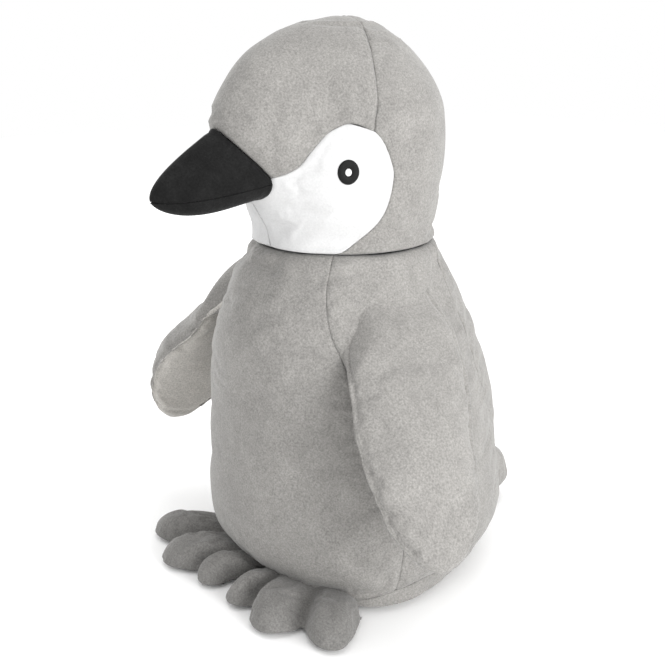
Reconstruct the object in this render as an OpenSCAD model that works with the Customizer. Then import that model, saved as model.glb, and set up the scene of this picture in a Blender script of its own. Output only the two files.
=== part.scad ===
// Plush penguin, standing on its stuffed base and two three-toed feet.
// It faces -Y, its own left side is +X, and the base panel lies on z = 0.
// Every fabric panel is a separate curved shell with a seam gap round it,
// and the fibrefill inside each stuffed form is a separate solid.

/* [Fabric] */
// Thickness of a body panel with its pile
skin = 2.0; // [1.2:0.1:2.5]
// Thickness of the beak's short-pile panels
beak_skin = 1.4; // [1.0:0.1:2.0]
// Gap left at every seam, and between fabric and fibrefill
seam_gap = 0.4; // [0.3:0.05:0.6]

/* [Wings] */
// Angle of the left wing from straight down, at rest
flare_left = 39; // [30:1:45]
// Angle of the right wing from straight down, at rest
flare_right = 35; // [30:1:45]
// Turn of each wing's hinge line towards the front of the body
wing_yaw = 14; // [10:1:18]
// Distance from the hinge line to the wing tip
wing_length = 130; // [115:1:135]
// Half width of a wing near its root
wing_half_width = 39.5; // [34:0.5:42]
// Half thickness of a stuffed wing
wing_half_thick = 11; // [8:0.5:12]

/* [Feet and tail] */
// Height of the toes where they meet the belly
toe_height = 15; // [12:1:18]
// Height of the tail's root above its lower face
tail_height = 28; // [20:1:30]
// Distance from the body's axis to the tail tip
tail_reach = 166; // [145:1:170]
// Height of the tail's lower face above the ground
tail_lift = 13; // [0:1:16]

/* [Face] */
// Height of the beak tip above the ground
beak_tip_z = 272; // [266:1:276]
// Distance that the beak tip stands in front of the body's axis
beak_reach = 144.5; // [135:0.5:150]
// Radius of an embroidered eye
eye_r = 7.5; // [6:0.5:9]

/* [Hidden] */

grey = [0.72, 0.71, 0.69];
foot_grey = [0.60, 0.59, 0.57];
white = [0.93, 0.93, 0.92];
black = [0.13, 0.13, 0.12];
fill_colour = [0.97, 0.97, 0.95];

neck_z = 233;          // seam between head and body
base_seam_z = 8;       // seam between base panel and the upright panels
base_centre_y = 8;     // the base disc sits a little behind the axis
apex_z = 379.97;       // top of the open ends of the crown panels
nod_z = 205;           // centre of the ball that the head rocks on
dome_r = 70.5;         // radius of that ball where the head's fabric meets it
roundness = 2.05;      // exponent of the oval cross-sections
left = 1;
right = -1;

// height, half width, front, back of the body's outer surface
TORSO = [
    [0, 66, 58, 74], [2.5, 78, 70, 86], [5, 83, 75, 91], [8, 87, 79, 95],
    [14, 94.5, 81, 101.2], [28, 101.3, 87.1, 111.7], [50, 105.2, 90.8, 118.1],
    [80, 101.9, 91, 116.8], [112, 98.9, 90.6, 110.5], [145, 93.9, 91.2, 100.2],
    [175, 87.2, 89, 88.7], [200, 77.6, 80.7, 76.7], [212, 71.6, 74, 71],
    [222, 65.9, 65.9, 65.9], [228, 64, 64, 64], [neck_z, 61.9, 61.9, 61.9]
];

// height, half width, front, back, brow bulge of the head's outer surface
HEAD = [
    [neck_z, 65, 66, 64.6, 0], [240, 65, 66, 64.6, 2], [255, 65.6, 63.5, 64.4, 8],
    [270, 66.3, 63.4, 64, 16], [285, 67.4, 64.4, 64.4, 24], [300, 68.6, 65, 65.4, 31.5],
    [313, 68.6, 64, 65, 35.5], [325, 67, 61.3, 63, 35], [340, 59.4, 57.6, 57, 29.6],
    [355, 48, 51, 46, 23], [367, 34.5, 40.5, 33.2, 14], [376, 19.6, 24, 18, 6],
    [378.5, 12, 14, 11.5, 2], [379.6, 6.8, 6.8, 6.8, 0], [380, 0.8, 0.8, 0.8, 0]
];
brow_width = 27;       // spread of the brow bulge round the head, in degrees

// height, inner edge and outer edge (degrees from the front) of a white cheek
CHEEK = [
    [neck_z + 1, 0.3, 47.5], [240.5, 0.3, 58.2], [245.5, 0.3, 65.2], [250.5, 0.3, 71],
    [256, 0.3, 75], [262, 0.5, 77.8], [267.5, 1, 79.2], [270, 8, 79.8], [273, 12.5, 80.2],
    [277, 15.3, 80.5], [282, 17.5, 80.6], [283.6, 21.7, 80.5], [286.8, 27.1, 80],
    [290, 30.7, 79.1], [298, 35.6, 76.3], [305.2, 40.4, 73.1], [311.2, 45.2, 68.2],
    [316, 53, 57.5]
];

// height and angle from the front of the seam behind the cheek and crown
HAIRLINE = [
    [neck_z + 1, 48.5], [240.5, 59.2], [245.5, 66.2], [250.5, 72], [256, 76],
    [262, 78.8], [270, 80.8], [277, 81.5], [283, 81.6], [290, 80.1], [298, 77.3],
    [305.2, 74.1], [311.2, 69.5], [330, 72], [353, 74.5], [368, 79], [376, 84.8], [380, 90]
];

// angle from the front and height of the crown panel's lower edge past the beak
BROW = [
    [17.9, 283], [21.7, 284.6], [27.1, 287.8], [30.7, 291], [35.6, 299], [40.4, 306.2],
    [45.2, 312.2], [50.2, 315.2], [55, 317.2], [61, 316], [68.5, 312.5], [90, 312.5]
];
beak_half_angle = 17.9;  // the mouth corner, in degrees from the front
beak_corner_z = 281.5;
beak_arch = 0.64;        // how pointed the base of the beak is at its top
beak_rise = 30;          // base of the beak above its corner
beak_drop = 13.2;         // base of the beak below its corner

// height and angle from the front of the belly seam and of the back seam
BELLY_SEAM = [
    [base_seam_z, 73], [43, 74], [60, 73], [100, 68], [140, 60], [171, 52],
    [190, 46], [215, 43.5], [neck_z, 46]
];
BACK_SEAM = [
    [base_seam_z, 140], [60, 140], [93, 138], [110, 132], [150, 124],
    [203, 119.5], [216, 121], [neck_z, 128]
];

// distance past the hinge, share of the half width, share of the half
// thickness and sideways shift of the wing's middle, for a 130 mm wing
WING = [
    [-6, 0.66, 0.12, 3], [-3, 0.90, 0.38, 3.5], [0, 0.98, 0.5, 3.5],
    [20, 1, 0.8, 3.5], [45, 0.96, 1, 2.5], [70, 0.90, 1, 2],
    [90, 0.81, 0.92, 1], [105, 0.68, 0.78, 0], [118, 0.48, 0.56, -1],
    [126, 0.27, 0.34, -2], [130, 0.08, 0.14, -3]
];
wing_hinge = [92, -28.3, 173];

// angle from the front and reach of a foot's outline: three toes
TOES = [
    [3.5, 100], [4.5, 109], [6, 114], [8.5, 116.5], [11.5, 115.5], [13.8, 112.5],
    [16, 110], [18.5, 117], [21.5, 127], [25.5, 132.5], [29, 132], [33, 127],
    [36.8, 120], [39.5, 130], [43, 139.5], [46.5, 142.5], [49.5, 139], [52, 128],
    [54, 115], [55.5, 104]
];
// angle from the front and depth of the valleys between the toes
VALLEYS = [
    [3.5, 0.35], [8, 0], [11.5, 0], [16, 0.8], [21, 0], [30, 0], [36.8, 0.8],
    [42, 0], [50, 0], [55.5, 0.35]
];
// angle from the back and reach of the tail's outline, as shares
TAIL = [[-20, 0.12], [-14, 0.42], [-7, 0.86], [0, 1], [7, 0.86], [14, 0.42], [20, 0.12]];

sole_z = 0.4;           // soles and tail clear the ground a little
fill_clear = seam_gap + 1;  // from the flat facets of a panel to the fibrefill

// ---- interpolation and surfaces --------------------------------------

function mix(a, b, t) = a + (b - a) * t;
function clamp(x, low, high) = min(max(x, low), high);

// index of the row of a table that x falls in
function row_of(rows, x) =
    clamp(len([for (r = rows) if (r[0] <= x) 1]) - 1, 0, len(rows) - 2);
function slope(rows, i) =
    let (a = rows[max(i - 1, 0)], b = rows[min(i + 1, len(rows) - 1)])
    (b - a) / (b[0] - a[0]);
// smooth curve through the rows of a table; the first column is the input
function curve(rows, x) =
    let (
        i = row_of(rows, x),
        a = rows[i],
        b = rows[i + 1],
        h = b[0] - a[0],
        t = clamp((x - a[0]) / h, 0, 1),
        t2 = t * t,
        t3 = t2 * t
    )
    (2 * t3 - 3 * t2 + 1) * a + (t3 - 2 * t2 + t) * h * slope(rows, i)
        + (3 * t2 - 2 * t3) * b + (t3 - t2) * h * slope(rows, i + 1);

// radius of an oval with half width a and front or back half depth d
function oval(angle, a, d) =
    pow(pow(abs(sin(angle)) / a, roundness) + pow(abs(cos(angle)) / d, roundness),
        -1 / roundness);
function around(angle, r, z) = [r * sin(angle), -r * cos(angle), z];

function torso_r(angle, z) =
    let (s = curve(TORSO, z)) oval(angle, s[1], cos(angle) > 0 ? s[2] : s[3]);
torso = function (angle, z) around(angle, torso_r(angle, z), z);

head = function (angle, z)
    let (
        s = curve(HEAD, z),
        turned = angle > 180 ? angle - 360 : angle,
        brow = s[4] * exp(-pow(turned / brow_width, 2))
    )
    around(angle, oval(angle, s[1], cos(angle) > 0 ? s[2] : s[3]) + brow, z);

// point of a surface moved inwards along its normal
function sunk(form, u, v, depth) =
    let (
        step = 0.4,
        du = form(u + step, v) - form(u - step, v),
        dv = form(u, v + step) - form(u, v - step),
        n = cross(du, dv)
    )
    form(u, v) - n / norm(n) * depth;

// ---- solids made from grids of points ---------------------------------

// two triangles for each cell between point rows a and b, with n points a row
function strip(a, b, n, closed) =
    [for (j = [0 : n - (closed ? 1 : 2)]) let (k = (j + 1) % n)
        each [[a + j, b + j, b + k], [a + j, b + k, a + k]]];

// a panel: the outer grid and the inner grid, joined round the edge
module panel(outer, inner) {
    rows = len(outer);
    cols = len(outer[0]);
    total = rows * cols;
    points = [for (r = outer) each r, for (r = inner) each r];
    rim = concat(
        [for (j = [0 : cols - 1]) j],
        [for (i = [1 : rows - 1]) i * cols + cols - 1],
        [for (j = [cols - 2 : -1 : 0]) (rows - 1) * cols + j],
        [for (i = [rows - 2 : -1 : 1]) i * cols]
    );
    faces = concat(
        [for (i = [0 : rows - 2]) each strip(i * cols, (i + 1) * cols, cols, false)],
        [for (i = [0 : rows - 2])
            for (f = strip(i * cols, (i + 1) * cols, cols, false))
                [f[2] + total, f[1] + total, f[0] + total]],
        [for (k = [0 : len(rim) - 1]) let (a = rim[k], b = rim[(k + 1) % len(rim)])
            each [[a, b, b + total], [a, b + total, a + total]]]
    );
    polyhedron(points, faces);
}

// a closed form through a row of rings, ended with a fan at each end
module loft(rings) {
    n = len(rings[0]);
    last = len(rings) - 1;
    centre = function (ring) [for (p = ring) 1] * ring / n;
    points = concat([for (r = rings) each r], [centre(rings[0]), centre(rings[last])]);
    first_tip = (last + 1) * n;
    faces = concat(
        [for (i = [0 : last - 1]) each strip(i * n, (i + 1) * n, n, true)],
        [for (j = [0 : n - 1]) [first_tip, j, (j + 1) % n]],
        [for (j = [0 : n - 1]) [first_tip + 1, last * n + (j + 1) % n, last * n + j]]
    );
    polyhedron(points, faces);
}

// fabric over a surface, between two edges that depend on the height
module fabric(form, heights, from, to, steps, thick = skin) {
    at = function (depth) [for (z = heights) [for (j = [0 : steps])
        sunk(form, mix(from(z), to(z), j / steps), z, depth)]];
    panel(at(thick), at(0));
}

function heights(low, high, steps) = [for (i = [0 : steps]) mix(low, high, i / steps)];

// ---- body -------------------------------------------------------------

// half of a seam gap as an angle, on a body about 90 mm in radius
gap_angle = seam_gap / 2 / 90 * 180 / PI;
torso_heights = heights(base_seam_z + seam_gap, neck_z, 16);

module belly_panel() {
    color(grey) fabric(torso, torso_heights,
        function (z) gap_angle - curve(BELLY_SEAM, z)[1],
        function (z) curve(BELLY_SEAM, z)[1] - gap_angle, 16);
}

module side_panel(side) {
    color(grey) mirror([side == right ? 1 : 0, 0, 0]) fabric(torso, torso_heights,
        function (z) curve(BELLY_SEAM, z)[1] + gap_angle,
        function (z) curve(BACK_SEAM, z)[1] - gap_angle, 8);
}

module back_panel(side) {
    color(grey) mirror([side == right ? 1 : 0, 0, 0]) fabric(torso, torso_heights,
        function (z) curve(BACK_SEAM, z)[1] + gap_angle,
        function (z) 180 - gap_angle, 7);
}

module base_panel() {
    flat_r = 66;
    rim_r = 86.6;
    color(grey) translate([0, base_centre_y, 0]) rotate_extrude($fn = 96) polygon([
        [0, 0], [flat_r, 0], [72, 0.7], [78, 2.5], [83, 5], [rim_r, base_seam_z],
        [rim_r - skin - 0.8, base_seam_z], [81, 5.8], [77, 4.2], [71, 2.6],
        [flat_r, skin], [0, skin]
    ]);
}

module body_filling() {
    low = base_seam_z * 0.7;
    ring_heights = concat([low], heights(base_seam_z + 2, neck_z - 7, 15));
    color(fill_colour) loft([for (z = ring_heights) [for (a = [0 : 10 : 350])
        around(a, torso_r(a, z) - skin - fill_clear - (z == low ? 5 : 0), z)]]);
}

// ---- neck: a ball of fibrefill that the head turns and rocks on --------

module neck_filling() {
    low_r = 58;
    low = neck_z - 5.6;
    ball_r = dome_r - skin;
    top = nod_z + ball_r;
    // the ball leaves the opening of the body at this height
    edge = nod_z + sqrt(ball_r * ball_r - low_r * low_r);
    color(fill_colour) rotate_extrude($fn = 72) polygon(concat(
        [[0, low], [low_r, low]],
        [for (z = heights(edge, top - 0.01, 14)) [sqrt(ball_r * ball_r - pow(z - nod_z, 2)), z]],
        [[0, top]]
    ));
}

// ---- head -------------------------------------------------------------

// lower edge of the crown panel: over the beak, then over the cheek
function crown_edge(angle) =
    let (a = abs(angle))
    a < beak_half_angle
        ? beak_corner_z + 1.5 + beak_rise * (1 - pow(a / beak_half_angle, 1 / beak_arch))
        : curve(BROW, a)[1];

module crown_panel() {
    rows = 12;
    cols = 28;
    at = function (depth) [for (i = [0 : rows]) [for (j = [0 : cols])
        let (
            share = mix(-1, 1, j / cols),
            edge = crown_edge(share * 68.8),
            z = mix(edge, apex_z, sin(90 * i / rows)),
            reach = curve(HAIRLINE, max(z, 312))[1] - gap_angle
        )
        sunk(head, share * reach, z, depth)]];
    color(grey) panel(at(skin), at(0));
}

module head_back(side) {
    levels = concat(heights(neck_z + 1, 345, 12), [356, 365, 372, 377, apex_z]);
    color(grey) mirror([side == right ? 1 : 0, 0, 0]) fabric(head, levels,
        function (z) curve(HAIRLINE, z)[1] + gap_angle,
        function (z) 180 - gap_angle, 9);
}

module cheek(side) {
    color(white) mirror([side == right ? 1 : 0, 0, 0]) fabric(head,
        heights(neck_z + 1, 316, 17),
        function (z) curve(CHEEK, z)[1],
        function (z) curve(CHEEK, z)[2] - gap_angle, 10);
}

module head_filling() {
    socket_r = dome_r + 0.7;
    rim_z = neck_z + 5;
    turn = [for (a = [0 : 10 : 350]) a];
    // from the centre of the hollow that sits on the neck, out to its rim
    hollow = [for (t = [2, 14, 26, 38, 50, 58])
        [for (a = turn) around(a, socket_r * sin(t), nod_z + socket_r * cos(t))]];
    outside = [for (z = concat(heights(rim_z, 355, 11), [366, 373]))
        [for (a = turn) sunk(head, a, z, skin + fill_clear)]];
    color(fill_colour) loft(concat(hollow, outside));
}

// ---- beak -------------------------------------------------------------

beak_root = [0, -88, 283];
beak_tip = [0, -beak_reach, beak_tip_z];

// share of the root's outline that is left at distance t towards the tip
function beak_taper(t, angle) =
    mix(pow(1 - t, 0.66), pow(1 - pow(t, 4), 0.6), (1 - cos(angle)) / 2);

// angle from the front of the root's outline
function beak_turn(angle) = beak_half_angle * sign(sin(angle))
    * (cos(angle) > 0 ? pow(1 - cos(angle), beak_arch) : pow(abs(sin(angle)), 0.8));

// angle 0 is the beak's top, 90 the left mouth corner, 180 its underside
function beak_point(t, angle, depth) =
    let (
        rise = cos(angle) > 0 ? beak_rise : beak_drop,
        z = beak_corner_z + rise * cos(angle),
        clear = seam_gap + 0.3,
        on_head = head(beak_turn(angle), z),
        out = on_head + [on_head[0], on_head[1], 0] / norm([on_head[0], on_head[1]]) * clear,
        spoke = out - beak_root,
        left_over = beak_taper(t, angle),
        size = norm(spoke) * left_over
    )
    mix(beak_root, beak_tip, t) + spoke * left_over * max(0.05, (size - depth) / size);

beak_stations = [0, 0.12, 0.25, 0.38, 0.5, 0.62, 0.73, 0.83, 0.91, 0.965];

module beak_part(from, to, steps) {
    at = function (depth) [for (t = beak_stations) [for (j = [0 : steps])
        beak_point(t, mix(from, to, j / steps), depth)]];
    color(black) panel(at(0), at(beak_skin));
}

module beak_upper() beak_part(99.5, -99.5, 20);
module beak_lower() beak_part(259.5, 100.5, 14);

// a point where the filling rests on the head, inside the beak's root
function beak_seat(share, angle) =
    let (rise = cos(angle) > 0 ? beak_rise : beak_drop)
    head(beak_turn(angle) * share, beak_corner_z + rise * share * cos(angle));

module beak_filling() {
    turn = [for (a = [345 : -15 : 0]) a];
    seat = [for (share = [0.05, 0.35, 0.65, 0.85]) [for (a = turn) beak_seat(share, a)]];
    out = [for (t = [0.06, 0.14, 0.25, 0.38, 0.5, 0.62, 0.73, 0.83, 0.91])
        [for (a = turn) beak_point(t, a, beak_skin + fill_clear)]];
    color(fill_colour) loft(concat(seat, out));
}

// ---- eyes: embroidered discs ------------------------------------------

eye_angle = 54.5;
eye_z = 287;

module on_cheek(side, lift) {
    p = sunk(head, eye_angle, eye_z, -lift);
    n = p - head(eye_angle, eye_z);
    mirror([side == right ? 1 : 0, 0, 0]) translate(p)
        rotate([0, acos(n[2] / norm(n)), atan2(n[1], n[0])]) children();
}

module eye(side) {
    color(black) on_cheek(side, 0.7) cylinder(r = eye_r, h = 0.8, $fn = 48);
}

module eye_highlight(side) {
    color(white) on_cheek(side, 1.55) cylinder(r = eye_r * 0.36, h = 0.5, $fn = 32);
}

// ---- wings ------------------------------------------------------------

// a point of a wing: u past the hinge, angle 0 to 180 on the outer face and
// 180 to 360 on the inner face, starting from the rear edge
function wing_point(u, angle, depth, flare) =
    let (
        s = curve(WING, u),
        half = max(wing_half_width * s[1] - depth, 0.8),
        thick = max(wing_half_thick * s[2] - depth, 0.3),
        along = [sin(flare) * cos(wing_yaw), -sin(flare) * sin(wing_yaw), -cos(flare)],
        across = [sin(wing_yaw), cos(wing_yaw), 0],
        out = [cos(flare) * cos(wing_yaw), -cos(flare) * sin(wing_yaw), sin(flare)]
    )
    wing_hinge + along * u * wing_length / 130 + across * (s[3] + half * cos(angle))
        + out * thick * sin(angle);

wing_stations = [-6, -4, -1, 5, 17, 32, 48, 64, 80, 95, 108, 118, 125.5, 130];

module wing_half(side, from, to) {
    flare = side == left ? flare_left : flare_right;
    edge = 2.5;
    at = function (depth) [for (u = wing_stations) [for (j = [0 : 12])
        wing_point(clamp(u, depth - 6, 130 - depth * 1.5), mix(from + edge, to - edge, j / 12),
            depth, flare)]];
    color(grey) mirror([side == right ? 1 : 0, 0, 0]) panel(at(skin * 0.6), at(0));
}

module wing_outer(side) wing_half(side, 0, 180);
module wing_inner(side) wing_half(side, 180, 360);

module wing_filling(side) {
    flare = side == left ? flare_left : flare_right;
    depth = skin * 0.6 + seam_gap + 0.3;
    color(fill_colour) mirror([side == right ? 1 : 0, 0, 0])
        loft([for (u = [-3.5, 0, 8, 20, 36, 52, 68, 84, 98, 110, 119, 124])
            [for (a = [345 : -15 : 0]) wing_point(u, a, depth, flare)]]);
}

// ---- feet and tail: fans that spread from the foot of the body ---------

// the fan's inner edge follows the body, at height z above the fan's own floor
function fan_root(angle, z, lift) = torso_r(angle, z + lift) + 1.1;
// height of the fan's upper face, from 0 at its root to 1 at its rim
function fan_rise(share, high, valley, fade) =
    high * fade * pow(1 - pow(share, 2.6), 0.55) * (1 - valley * 0.5 * pow(share, 0.6));

// one slice of a fan's upper face, root to rim
function fan_top(angle, reach, high, valley, fade, depth, steps, lift) =
    [for (i = [0 : steps]) let (
            s = sin(90 * i / steps),
            z = sole_z + skin + seam_gap + max(fan_rise(s, high, valley, fade) - depth, 0.2),
            root = fan_root(angle, z, lift) + depth,
            rim = max(reach - depth, root + 1)
        ) around(angle, mix(root, rim, s), z)];

function fade_at(angle, low, high) =
    let (x = (2 * angle - low - high) / (high - low)) sqrt(max(1 - pow(x, 8), 0.05));

module fan_upper(angles, reach, high, valley, lift = 0) {
    low = angles[0];
    top = angles[len(angles) - 1];
    at = function (depth) [for (a = angles)
        let (mid = clamp(a, low + depth * 0.4, top - depth * 0.4))
        fan_top(mid, reach(mid), high, valley(mid), fade_at(a, low, top), depth, 9, lift)];
    translate([0, 0, lift]) panel(at(0), at(skin * 0.7));
}

module fan_sole(angles, reach, lift = 0) {
    at = function (z) [for (a = angles) let (root = fan_root(a, sole_z + skin, lift))
        [for (s = [0, 0.25, 0.5, 0.75, 1]) around(a, mix(root, reach(a) - 1, s), z)]];
    translate([0, 0, lift]) panel(at(sole_z + skin), at(sole_z));
}

module fan_filling(angles, reach, high, valley, lift = 0) {
    low = angles[0];
    top = angles[len(angles) - 1];
    depth = skin * 0.7 + fill_clear;
    inner = [for (a = angles) if (a > low + 1 && a < top - 1) a];
    floor_z = sole_z + skin + seam_gap;
    translate([0, 0, lift]) loft([for (a = inner)
        let (
            fade = fade_at(a, low, top),
            slice = fan_top(a, reach(a), high, valley(a), fade, depth, 7, lift),
            root_z = slice[0][2],
            rim = mix(reach(a) - depth, fan_root(a, floor_z, lift) + depth, 0.1)
        )
        // along the sole, then up the body's curve
        concat(slice, [around(a, rim, floor_z)], [for (t = [0, 0.15, 0.35, 0.65])
            let (z = mix(floor_z, root_z, t)) around(a, fan_root(a, z, lift) + depth, z)])]);
}

toe_turn = 2.7;         // both feet point this far to the toy's left
toe_angles = [for (i = [0 : 34]) mix(3.8, 55.2, i / 34)];
turned_toes = function (turn) [for (a = toe_angles) a + turn];
toe_reach = function (turn) function (a) curve(TOES, a - turn)[1];
toe_valley = function (turn) function (a) clamp(curve(VALLEYS, a - turn)[1], 0, 1);
tail_angles = [for (i = [0 : 16]) mix(160, 200, i / 16)];
tail_rim = function (a)
    mix(fan_root(a, 12, tail_lift), tail_reach, curve(TAIL, a - 180)[1]);
no_valley = function (a) 0;

module foot_upper(side) {
    turn = side * toe_turn;
    color(foot_grey) mirror([side == right ? 1 : 0, 0, 0])
        fan_upper(turned_toes(turn), toe_reach(turn), toe_height, toe_valley(turn));
}

module foot_sole(side) {
    turn = side * toe_turn;
    color(foot_grey) mirror([side == right ? 1 : 0, 0, 0])
        fan_sole(turned_toes(turn), toe_reach(turn));
}

module foot_filling(side) {
    turn = side * toe_turn;
    color(fill_colour) mirror([side == right ? 1 : 0, 0, 0])
        fan_filling(turned_toes(turn), toe_reach(turn), toe_height, toe_valley(turn));
}

module tail_upper() {
    color(grey) fan_upper(tail_angles, tail_rim, tail_height, no_valley, tail_lift);
}

module tail_lower() {
    color(grey) fan_sole(tail_angles, tail_rim, tail_lift);
}

module tail_filling() {
    color(fill_colour) fan_filling(tail_angles, tail_rim, tail_height, no_valley, tail_lift);
}

belly_panel();
side_panel(left);  // side_panel_left
side_panel(right);  // side_panel_right
back_panel(left);  // back_panel_left
back_panel(right);  // back_panel_right
base_panel();
body_filling();
neck_filling();
crown_panel();
head_back(left);  // head_back_left
head_back(right);  // head_back_right
cheek(left);  // cheek_left
cheek(right);  // cheek_right
head_filling();
beak_upper();
beak_lower();
beak_filling();
eye(left);  // eye_left
eye(right);  // eye_right
eye_highlight(left);  // eye_highlight_left
eye_highlight(right);  // eye_highlight_right
wing_outer(left);  // wing_outer_left
wing_inner(left);  // wing_inner_left
wing_filling(left);  // wing_filling_left
wing_outer(right);  // wing_outer_right
wing_inner(right);  // wing_inner_right
wing_filling(right);  // wing_filling_right
foot_upper(left);  // foot_upper_left
foot_sole(left);  // foot_sole_left
foot_filling(left);  // foot_filling_left
foot_upper(right);  // foot_upper_right
foot_sole(right);  // foot_sole_right
foot_filling(right);  // foot_filling_right
tail_upper();
tail_lower();
tail_filling();
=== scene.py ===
import math

import bpy
import numpy as np
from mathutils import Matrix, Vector
from mathutils.bvhtree import BVHTree


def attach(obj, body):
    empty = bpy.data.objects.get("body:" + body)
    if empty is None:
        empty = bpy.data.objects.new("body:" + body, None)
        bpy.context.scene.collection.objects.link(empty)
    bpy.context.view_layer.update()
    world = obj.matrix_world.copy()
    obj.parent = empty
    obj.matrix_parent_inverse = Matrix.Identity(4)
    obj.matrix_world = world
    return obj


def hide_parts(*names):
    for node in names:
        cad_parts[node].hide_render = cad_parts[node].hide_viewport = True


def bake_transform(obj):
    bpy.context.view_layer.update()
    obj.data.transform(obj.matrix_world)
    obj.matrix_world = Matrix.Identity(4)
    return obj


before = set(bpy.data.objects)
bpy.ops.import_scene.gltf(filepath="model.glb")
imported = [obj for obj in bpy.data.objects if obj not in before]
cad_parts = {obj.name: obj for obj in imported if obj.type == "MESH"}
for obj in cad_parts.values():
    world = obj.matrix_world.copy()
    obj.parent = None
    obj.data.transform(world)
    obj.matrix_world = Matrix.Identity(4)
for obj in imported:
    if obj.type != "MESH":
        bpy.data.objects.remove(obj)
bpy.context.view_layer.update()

# Every length in the shape code is in millimetres, and MM turns it into
# the scene's metres when a mesh is made. Angles round the body are in
# degrees from the front, positive towards the penguin's own left.
MM = 0.001
LEFT, RIGHT = 1, -1
SIDES = ((LEFT, "left"), (RIGHT, "right"))
rng = np.random.default_rng(11)

# ---- shape of the body: stations close to those of the CAD model ----------

NECK_Z = 233.0
APEX_Z = 379.97
ROUNDNESS = 2.05
# height, half width, front, back, bulge of the hips
TORSO = [
    (0, 67.4, 57.3, 73.2, 5.7), (2.5, 82.2, 65, 82.8, 8.4), (5, 89.5, 68.5, 87, 13),
    (8, 91.5, 73.5, 92, 8.5), (14, 95.2, 78.2, 100.7, 4), (28, 101.3, 87.1, 111.7, 1.5),
    (50, 105.2, 90.8, 118.1, 0), (80, 101.9, 91, 116.8, 0), (112, 98.9, 90.6, 110.5, 0),
    (145, 93.9, 91.2, 100.2, 0), (175, 87.2, 89, 88.7, 0), (200, 77.6, 80.7, 76.7, 0),
    (212, 72, 75, 71, 0), (222, 66.4, 67, 66, 0), (228, 63.4, 63.6, 63.2, 0),
    (NECK_Z, 60.8, 60.8, 60.8, 0),
]
HIP_ANGLE = 62.0
HIP_WIDTH = 26.0
# height, half width, front, back, brow bulge
HEAD = [
    (NECK_Z, 60.8, 60.8, 60.8, 0), (240, 59, 60, 60, 1.5), (255, 62.4, 61.8, 61.2, 7),
    (270, 64.8, 63.2, 62.2, 15.8), (285, 67.3, 64.4, 64, 24), (300, 68.6, 65, 65.4, 31.5),
    (313, 68.6, 64, 65, 35.5), (325, 67, 61.3, 63, 35), (340, 59.4, 57.6, 57, 29.6),
    (355, 48, 51, 46, 23), (367, 34.5, 40.5, 33.2, 14), (376, 19.6, 24, 18, 6),
    (378.5, 12, 14, 11.5, 2), (379.6, 6.8, 6.8, 6.8, 0), (380, 0.8, 0.8, 0.8, 0),
]
BROW_WIDTH = 27.0
# height, inner edge and outer edge of a white cheek
CHEEK = [
    (NECK_Z, 0, 46.5), (240.5, 0, 58.2), (245.5, 0, 65.2), (250.5, 0, 71), (256, 0, 75),
    (262, 0.3, 77.8), (267.5, 1, 79.2), (270, 8, 79.8), (273, 12.5, 80.2), (277, 15.3, 80.5),
    (282, 17.5, 80.6), (283.6, 21.7, 80.5), (286.8, 27.1, 80), (290, 30.7, 79.1),
    (298, 35.6, 76.3), (305.2, 40.4, 73.1), (311.2, 45.2, 68.5), (316.5, 54, 55),
]
# height and angle of the seam behind cheek and crown
HAIRLINE = [
    (NECK_Z, 46.5), (240.5, 58.2), (245.5, 65.2), (250.5, 71), (256, 75), (262, 77.8),
    (267.5, 79.2), (270, 79.8), (273, 80.2), (277, 80.5), (282, 80.6), (283.6, 80.5),
    (286.8, 80), (290, 79.1), (298, 76.3), (305.2, 73.1), (311.2, 68.5), (330, 71.2),
    (353, 73.8), (368, 78.4), (376, 84.5), (380, 90),
]
# angle and height of the crown's lower edge beside the beak
BROW = [
    (17.9, 282), (21.7, 283.6), (27.1, 286.8), (30.7, 290), (35.6, 298), (40.4, 305.2),
    (45.2, 311.2), (50.2, 314.4), (55, 316.2), (61, 315), (68.5, 311.2), (90, 311.2),
]
BEAK_HALF_ANGLE = 17.9
BEAK_CORNER_Z = 281.5
BEAK_RISE = 30.0
BEAK_DROP = 13.2
BEAK_ARCH = 0.64   # how pointed the base of the beak is at its top
BEAK_ROOT = np.array([0, -88.0, 283.0])
BEAK_TIP = np.array([0, -144.5, 272.0])
# height and angle of the seams down the body
BELLY_SEAM = [
    (8, 73), (43, 74), (60, 73), (100, 68), (140, 60), (171, 52),
    (190, 46), (215, 43.5), (NECK_Z, 46),
]
BACK_SEAM = [
    (8, 140), (60, 140), (93, 138), (110, 132), (150, 124),
    (203, 119.5), (216, 121), (NECK_Z, 128),
]
# distance past the hinge, half width, half thickness, sideways shift
WING = [
    (-70, 30, 4.0, 3), (-40, 36, 5.5, 3), (-20, 38, 6.5, 3.5),
    (0, 38.7, 8.0, 3.5), (20, 39.5, 9.5, 3.5), (45, 38, 11, 2.5), (70, 35.5, 11, 2),
    (90, 32, 10, 1), (105, 27, 8.6, 0), (118, 19, 6.4, -1), (126, 11, 3.6, -2),
    (130, 3.2, 0.3, -3),
]
WING_HINGE = np.array([92, -28.3, 173])
WING_YAW = 14.0
# The two wings are posed and stuffed a little differently.
FLARE = {LEFT: 39.0, RIGHT: 33.5}     # angle from straight down
PLUMP = {LEFT: 1.3, RIGHT: 1.75}      # how much the outer face swells
BOW = {LEFT: 0.0, RIGHT: 6.5}         # how far the whole wing arches outwards
SWEEP = {LEFT: 8.0, RIGHT: 4.0}       # how far the tip points forwards
SHOULDER = {LEFT: 4.0, RIGHT: 11.0}   # how far the root stands out towards the neck
LEAVE = {LEFT: -44.0, RIGHT: -53.0}   # where the middle of the wing starts to leave the body
TWIST = {LEFT: 0.0, RIGHT: 26.0}      # how far the tip turns its front edge outwards, degrees
ROLL = {LEFT: 0.0, RIGHT: 22.0}       # how far the front seam rolls to the inner face, degrees
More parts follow.
